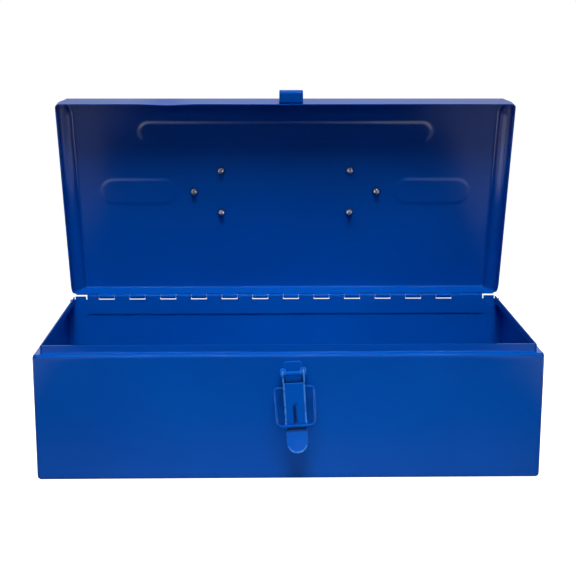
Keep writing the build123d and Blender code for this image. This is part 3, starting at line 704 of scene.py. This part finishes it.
def blend(tree, mask, first, second):
    """A colour mixed by a mask; each colour is a socket or an RGB tuple."""
    made = node(tree, "ShaderNodeMix", data_type="RGBA")
    tree.links.new(mask, made.inputs["Factor"])
    for label, value in (("A", first), ("B", second)):
        socket = next(s for s in made.inputs if s.name == label and s.type == "RGBA")
        if isinstance(value, tuple):
            socket.default_value = (*value, 1)
        else:
            tree.links.new(value, socket)
    return next(s for s in made.outputs if s.type == "RGBA")


def choose(tree, switch, first, second):
    """One shader where the switch is 0, and the other where it is 1."""
    mix = node(tree, "ShaderNodeMixShader")
    for socket, source in zip(mix.inputs, (switch, first, second)):
        tree.links.new(source, socket)
    return mix.outputs[0]


def new_material(name, **shader_values):
    """A material with its Principled shader, whose constant sockets are set by name."""
    material = bpy.data.materials.new(name)
    material.use_nodes = True
    shader = material.node_tree.nodes["Principled BSDF"]
    for key, value in shader_values.items():
        shader.inputs[key.replace("_", " ")].default_value = value
    return material, material.node_tree, shader


def add_height(tree, shader, height, distance, ease=0.0):
    """Feeds a height through a Bump node to the shader's normal; ease rounds sharp edges."""
    bump = node(tree, "ShaderNodeBump", in_Distance=distance)
    tree.links.new(height, bump.inputs["Height"])
    if ease:
        rounded = node(tree, "ShaderNodeBevel", samples=6, in_Radius=ease)
        tree.links.new(rounded.outputs["Normal"], bump.inputs["Normal"])
    tree.links.new(bump.outputs["Normal"], shader.inputs["Normal"])


# ---------------------------------------------------------------- finishes
ENAMEL_DEEP = (0.0, 0.066, 0.39)
ENAMEL_LIGHT = (0.0, 0.078, 0.44)
# pale blue of the painted highlight along edges
ENAMEL_HIGHLIGHT = (0.06, 0.26, 0.75)
# dark blue of the painted shade
PAINTED_SHADE = (0.004, 0.012, 0.05)
ZINC = (0.62, 0.63, 0.65)
ALUMINIUM = (0.8, 0.8, 0.81)
STEEL = (0.3, 0.3, 0.31)
PLASTIC_BLACK = (0.012, 0.012, 0.013)
PLASTIC_WORN = (0.03, 0.03, 0.032)
PEEL_DEPTH = 0.012 * MM
SCUFF_DEPTH = 0.01 * MM
GRAIN_DEPTH = 0.03 * MM
EDGE_EASE = 0.35 * MM
WIRE_EASE = 0.2 * MM


def enamel(name, peel, wear, ease=0.0, light=1.0, sheen=0.38):
    """Glossy blue baked enamel: slow tone changes, orange peel, smears, a painted highlight on edges
    and painted shade.
    """
    material, tree, shader = new_material(name, Specular_IOR_Level=sheen)
    mottle = use_group(tree, "mottle", Cloud_Scale=9.0)
    edges = use_group(tree, "wear", Amount=wear)
    deep = tuple(light * c for c in ENAMEL_DEEP)
    pale = tuple(light * c for c in ENAMEL_LIGHT)
    body = blend(tree, mottle.outputs["Cloud"], deep, pale)
    # painted shade darkens the enamel, then a painted highlight lightens its edges
    body = blend(tree, edges.outputs["Grime"], body, PAINTED_SHADE)
    colour = blend(tree, edges.outputs["Mask"], body, ENAMEL_HIGHLIGHT)
    tree.links.new(colour, shader.inputs["Base Color"])
    gloss = use_group(tree, "gloss", Base=0.13, Smear=0.08)
    tree.links.new(gloss.outputs["Roughness"], shader.inputs["Roughness"])
    height = use_group(tree, "peel", Peel=peel)
    add_height(tree, shader, height.outputs["Height"], PEEL_DEPTH, ease)
    return material


def plated(name, tone, rough=0.28, metal=1.0):
    """Bare or plated metal: a cloudy tone with a darker bloom in places, and fine scuffs."""
    material, tree, shader = new_material(name, Metallic=metal)
    mottle = use_group(tree, "mottle", Cloud_Scale=60.0)
    dark = tuple(0.72 * c for c in tone)
    tree.links.new(blend(tree, mottle.outputs["Cloud"], tone, dark), shader.inputs["Base Color"])
    gloss = use_group(tree, "gloss", Base=rough, Smear=0.2)
    tree.links.new(gloss.outputs["Roughness"], shader.inputs["Roughness"])
    height = use_group(tree, "peel", Peel=1.0, Scale=1800.0)
    add_height(tree, shader, height.outputs["Height"], SCUFF_DEPTH)
    return material


def moulded(name):
    """Black moulded plastic with a fine texture and a worn sheen."""
    material, tree, shader = new_material(name, Specular_IOR_Level=0.5)
    mottle = use_group(tree, "mottle", Cloud_Scale=40.0)
    tone = blend(tree, mottle.outputs["Cloud"], PLASTIC_BLACK, PLASTIC_WORN)
    tree.links.new(tone, shader.inputs["Base Color"])
    gloss = use_group(tree, "gloss", Base=0.42, Smear=0.2)
    tree.links.new(gloss.outputs["Roughness"], shader.inputs["Roughness"])
    height = use_group(tree, "peel", Peel=1.0, Scale=2600.0)
    add_height(tree, shader, height.outputs["Height"], GRAIN_DEPTH)
    return material


def paint(piece, material):
    """Gives a piece one material."""
    piece.data.materials.clear()
    piece.data.materials.append(material)


# ---------------------------------------------------------------- the object
body = body_sheet()
lid = lid_sheet()
lever = latch_lever()
# the amount after peel is the strength of each finish's painted highlight on its edges
sheet_enamel = enamel("sheet_enamel", peel=1.0, wear=0.03)
small_enamel = enamel("small_enamel", peel=0.8, wear=0.1, ease=EDGE_EASE)
wire_enamel = enamel("wire_enamel", peel=0.8, wear=0.25, ease=WIRE_EASE, sheen=0.2)
latch_enamel = enamel("latch_enamel", peel=0.8, wear=1.0, ease=EDGE_EASE, light=1.15, sheen=0.15)
zinc = plated("bright_zinc", ZINC)
aluminium = plated("rivet_aluminium", ALUMINIUM, rough=0.2, metal=0.75)
stem_steel = plated("stem_steel", STEEL, rough=0.3, metal=0.7)
grip_plastic = moulded("grip_plastic")

paint(body, sheet_enamel)
paint(lid, sheet_enamel)
paint(lever, latch_enamel)
FINISHES = {
    sheet_enamel: ["left_end_panel", "right_end_panel"],
    small_enamel: ["hinge_body_leaf", "hinge_lid_leaf"],
    latch_enamel: ["keeper", "latch_base", "latch_pivot_pin"],
    wire_enamel: ["latch_bail"],
    aluminium: ["latch_rivets", "handle_rivets_left", "handle_rivets_right"],
    stem_steel: ["latch_rivet_mandrels", "rivet_mandrels_left", "rivet_mandrels_right"],
    zinc: ["hinge_pin", "handle_bracket_left", "handle_bracket_right", "handle_rod"],
    grip_plastic: ["handle_grip"],
}
for finish, names in FINISHES.items():
    for name in names:
        paint(frame["nodes"][name], finish)


# ---------------------------------------------------------------- floor, light and camera
SKY_FILL = 0.05
SKY_LOW, SKY_HIGH = 0.2, 0.75
SKY_LOW_TONE, SKY_HIGH_TONE = 0.75, 0.06
# where gloss mirrors a bright floor: each pair is where the brightness starts and is full
FLOOR_ASIDE = (0.212, 0.236)
FLOOR_AHEAD = (-0.19, -0.25)
FLOOR_NEAR = (FRONT - 0.14, FRONT - 0.02)
FLOOR_BEHIND = (0.1, 0.3)
FLOOR_FAR_ASIDE = (0.4, 0.5)
NEAR_SHARE = 0.22
FLOOR_GLARE = 0.6
SIDE_GLARE = 3.0
WHITE = (1, 1, 1, 1)
FLOOR_GREY = (0.5, 0.5, 0.5, 1)
FLOOR_REACH = 40
FLOOR_GAP = 0.05 * MM
EYE = (-0.0172, -0.8973, 0.3184)
LOOK_DOWN, ROLL, LOOK_RIGHT = 12.34, -0.06, 1.12
SENSOR_MM, LENS_MM = 36.0, 75.5


def sky():
    """Plain studio surroundings: white where seen, soft where they light the object.

    Where gloss mirrors them they are bright low down, dim overhead and dark behind the camera.
    """
    world = bpy.data.worlds.new("studio")
    bpy.context.scene.world = world
    world.use_nodes = True
    tree = world.node_tree
    tree.nodes.clear()
    out = node(tree, "ShaderNodeOutputWorld")
    path = node(tree, "ShaderNodeLightPath")
    heading = node(tree, "ShaderNodeTexCoord")
    parts = node(tree, "ShaderNodeSeparateXYZ")
    tree.links.new(heading.outputs["Generated"], parts.inputs[0])
    low = node(tree, "ShaderNodeMapRange", in_From_Min=SKY_LOW, in_From_Max=SKY_HIGH)
    low.inputs["To Min"].default_value = SKY_LOW_TONE
    low.inputs["To Max"].default_value = SKY_HIGH_TONE
    tree.links.new(parts.outputs["Z"], low.inputs["Value"])
    white = node(tree, "ShaderNodeBackground", in_Color=WHITE, in_Strength=1.0)
    soft = node(tree, "ShaderNodeBackground", in_Color=WHITE, in_Strength=SKY_FILL)
    mirrored = node(tree, "ShaderNodeBackground", in_Color=WHITE)
    ahead = ramp(tree, parts.outputs["Y"], -0.2, 0.2)
    tone = maths(tree, "MULTIPLY", low.outputs["Result"], ahead)
    tree.links.new(tone, mirrored.inputs["Strength"])
    lit = choose(tree, path.outputs["Is Glossy Ray"], soft.outputs[0], mirrored.outputs[0])
    seen = choose(tree, path.outputs["Is Camera Ray"], lit, white.outputs[0])
    tree.links.new(seen, out.inputs["Surface"])


def floor():
    """A wide pale floor just under the box.

    Where gloss mirrors it, it is bright beside, behind and right in front of the box, and dark
    in the middle further forward, where the camera stands.
    """
    r = FLOOR_REACH
    mesh = bpy.data.meshes.new("floor")
    corners = [(-r, -r), (r, -r), (r, r), (-r, r)]
    mesh.from_pydata([(x, y, -FLOOR_GAP) for x, y in corners], [], [(0, 1, 2, 3)])
    piece = bpy.data.objects.new("floor", mesh)
    bpy.context.scene.collection.objects.link(piece)
    material, tree, shader = new_material(
        "pale_floor",
        Base_Color=FLOOR_GREY,
        Roughness=0.9,
        Specular_IOR_Level=0.1,
        Emission_Color=WHITE,
    )
    path = node(tree, "ShaderNodeLightPath")
    tree.links.new(path.outputs["Is Camera Ray"], shader.inputs["Emission Strength"])
    place = node(tree, "ShaderNodeTexCoord")
    parts = node(tree, "ShaderNodeSeparateXYZ")
    tree.links.new(place.outputs["Object"], parts.inputs[0])
    across = maths(tree, "ABSOLUTE", parts.outputs["X"])
    depth = parts.outputs["Y"]
    aside = ramp(tree, across, *FLOOR_ASIDE)
    aside = maths(tree, "MULTIPLY", aside, ramp(tree, depth, *FLOOR_AHEAD))
    near = maths(tree, "MULTIPLY", ramp(tree, depth, *FLOOR_NEAR), NEAR_SHARE)
    tone = maths(tree, "MAXIMUM", aside, near)
    tone = maths(tree, "MAXIMUM", tone, ramp(tree, depth, *FLOOR_BEHIND))
    tone = maths(tree, "MULTIPLY", tone, FLOOR_GLARE)
    far_aside = maths(tree, "MULTIPLY", ramp(tree, across, *FLOOR_FAR_ASIDE), SIDE_GLARE)
    tone = maths(tree, "MAXIMUM", tone, far_aside)
    mirrored = node(tree, "ShaderNodeEmission")
    tree.links.new(tone, mirrored.inputs["Strength"])
    mixed = choose(tree, path.outputs["Is Glossy Ray"], shader.outputs[0], mirrored.outputs[0])
    tree.links.new(mixed, tree.nodes["Material Output"].inputs["Surface"])
    mesh.materials.append(material)


def softbox(name, place, target, size, power, seen, spread=180):
    """A rectangular area light that points at a target, with its beam's spread in degrees.

    It lights the object in one way only, diffuse or glossy, and the camera doesn't see it.
    """
    light = bpy.data.lights.new(name, "AREA")
    light.shape = "RECTANGLE"
    light.size, light.size_y = size
    light.energy = power
    light.spread = math.radians(spread)
    lamp = bpy.data.objects.new(name, light)
    bpy.context.scene.collection.objects.link(lamp)
    lamp.location = place
    lamp.rotation_euler = (Vector(target) - Vector(place)).to_track_quat("-Z", "Y").to_euler()
    lamp.visible_camera = False
    lamp.visible_diffuse = seen == "diffuse"
    lamp.visible_glossy = seen == "glossy"


def lights():
    """A high soft light, two beams at the lid and the front, and a strip at each side."""
    softbox(
        "overhead",
        place=(0, -0.48, 1.25),
        target=(0, 0, 0.05),
        size=(0.6, 0.4),
        power=1.7,
        spread=44,
        seen="diffuse",
    )
    softbox(
        "lid_beam",
        place=(-0.02, -1.2, 0.55),
        target=(-0.02, 0.08, 0.085),
        size=(0.45, 0.2),
        power=0.06,
        spread=18,
        seen="diffuse",
    )
    softbox(
        "low_beam",
        place=(-0.03, -1.2, 0.12),
        target=(-0.02, -0.08, 0),
        size=(0.45, 0.1),
        power=0.037,
        spread=16,
        seen="diffuse",
    )
    for name, side in (("left_strip", -1), ("right_strip", 1)):
        place = (side * 1.0, -0.45, 0.45)
        softbox(name, place, target=(0, 0, 0.1), size=(0.12, 0.8), power=1.4, seen="glossy")


def camera():
    """A long lens a little above the box, turned slightly to the right and down."""
    lens = bpy.data.cameras.new("camera")
    lens.sensor_width = SENSOR_MM
    lens.lens = LENS_MM
    lens.dof.use_dof = False
    eye = bpy.data.objects.new("camera", lens)
    bpy.context.scene.collection.objects.link(eye)
    eye.location = EYE
    turns = (90 - LOOK_DOWN, ROLL, -LOOK_RIGHT)
    eye.rotation_euler = Euler([math.radians(turn) for turn in turns])
    bpy.context.scene.camera = eye


sky()
floor()
camera()
lights()
bpy.context.scene.view_settings.view_transform = "Standard"
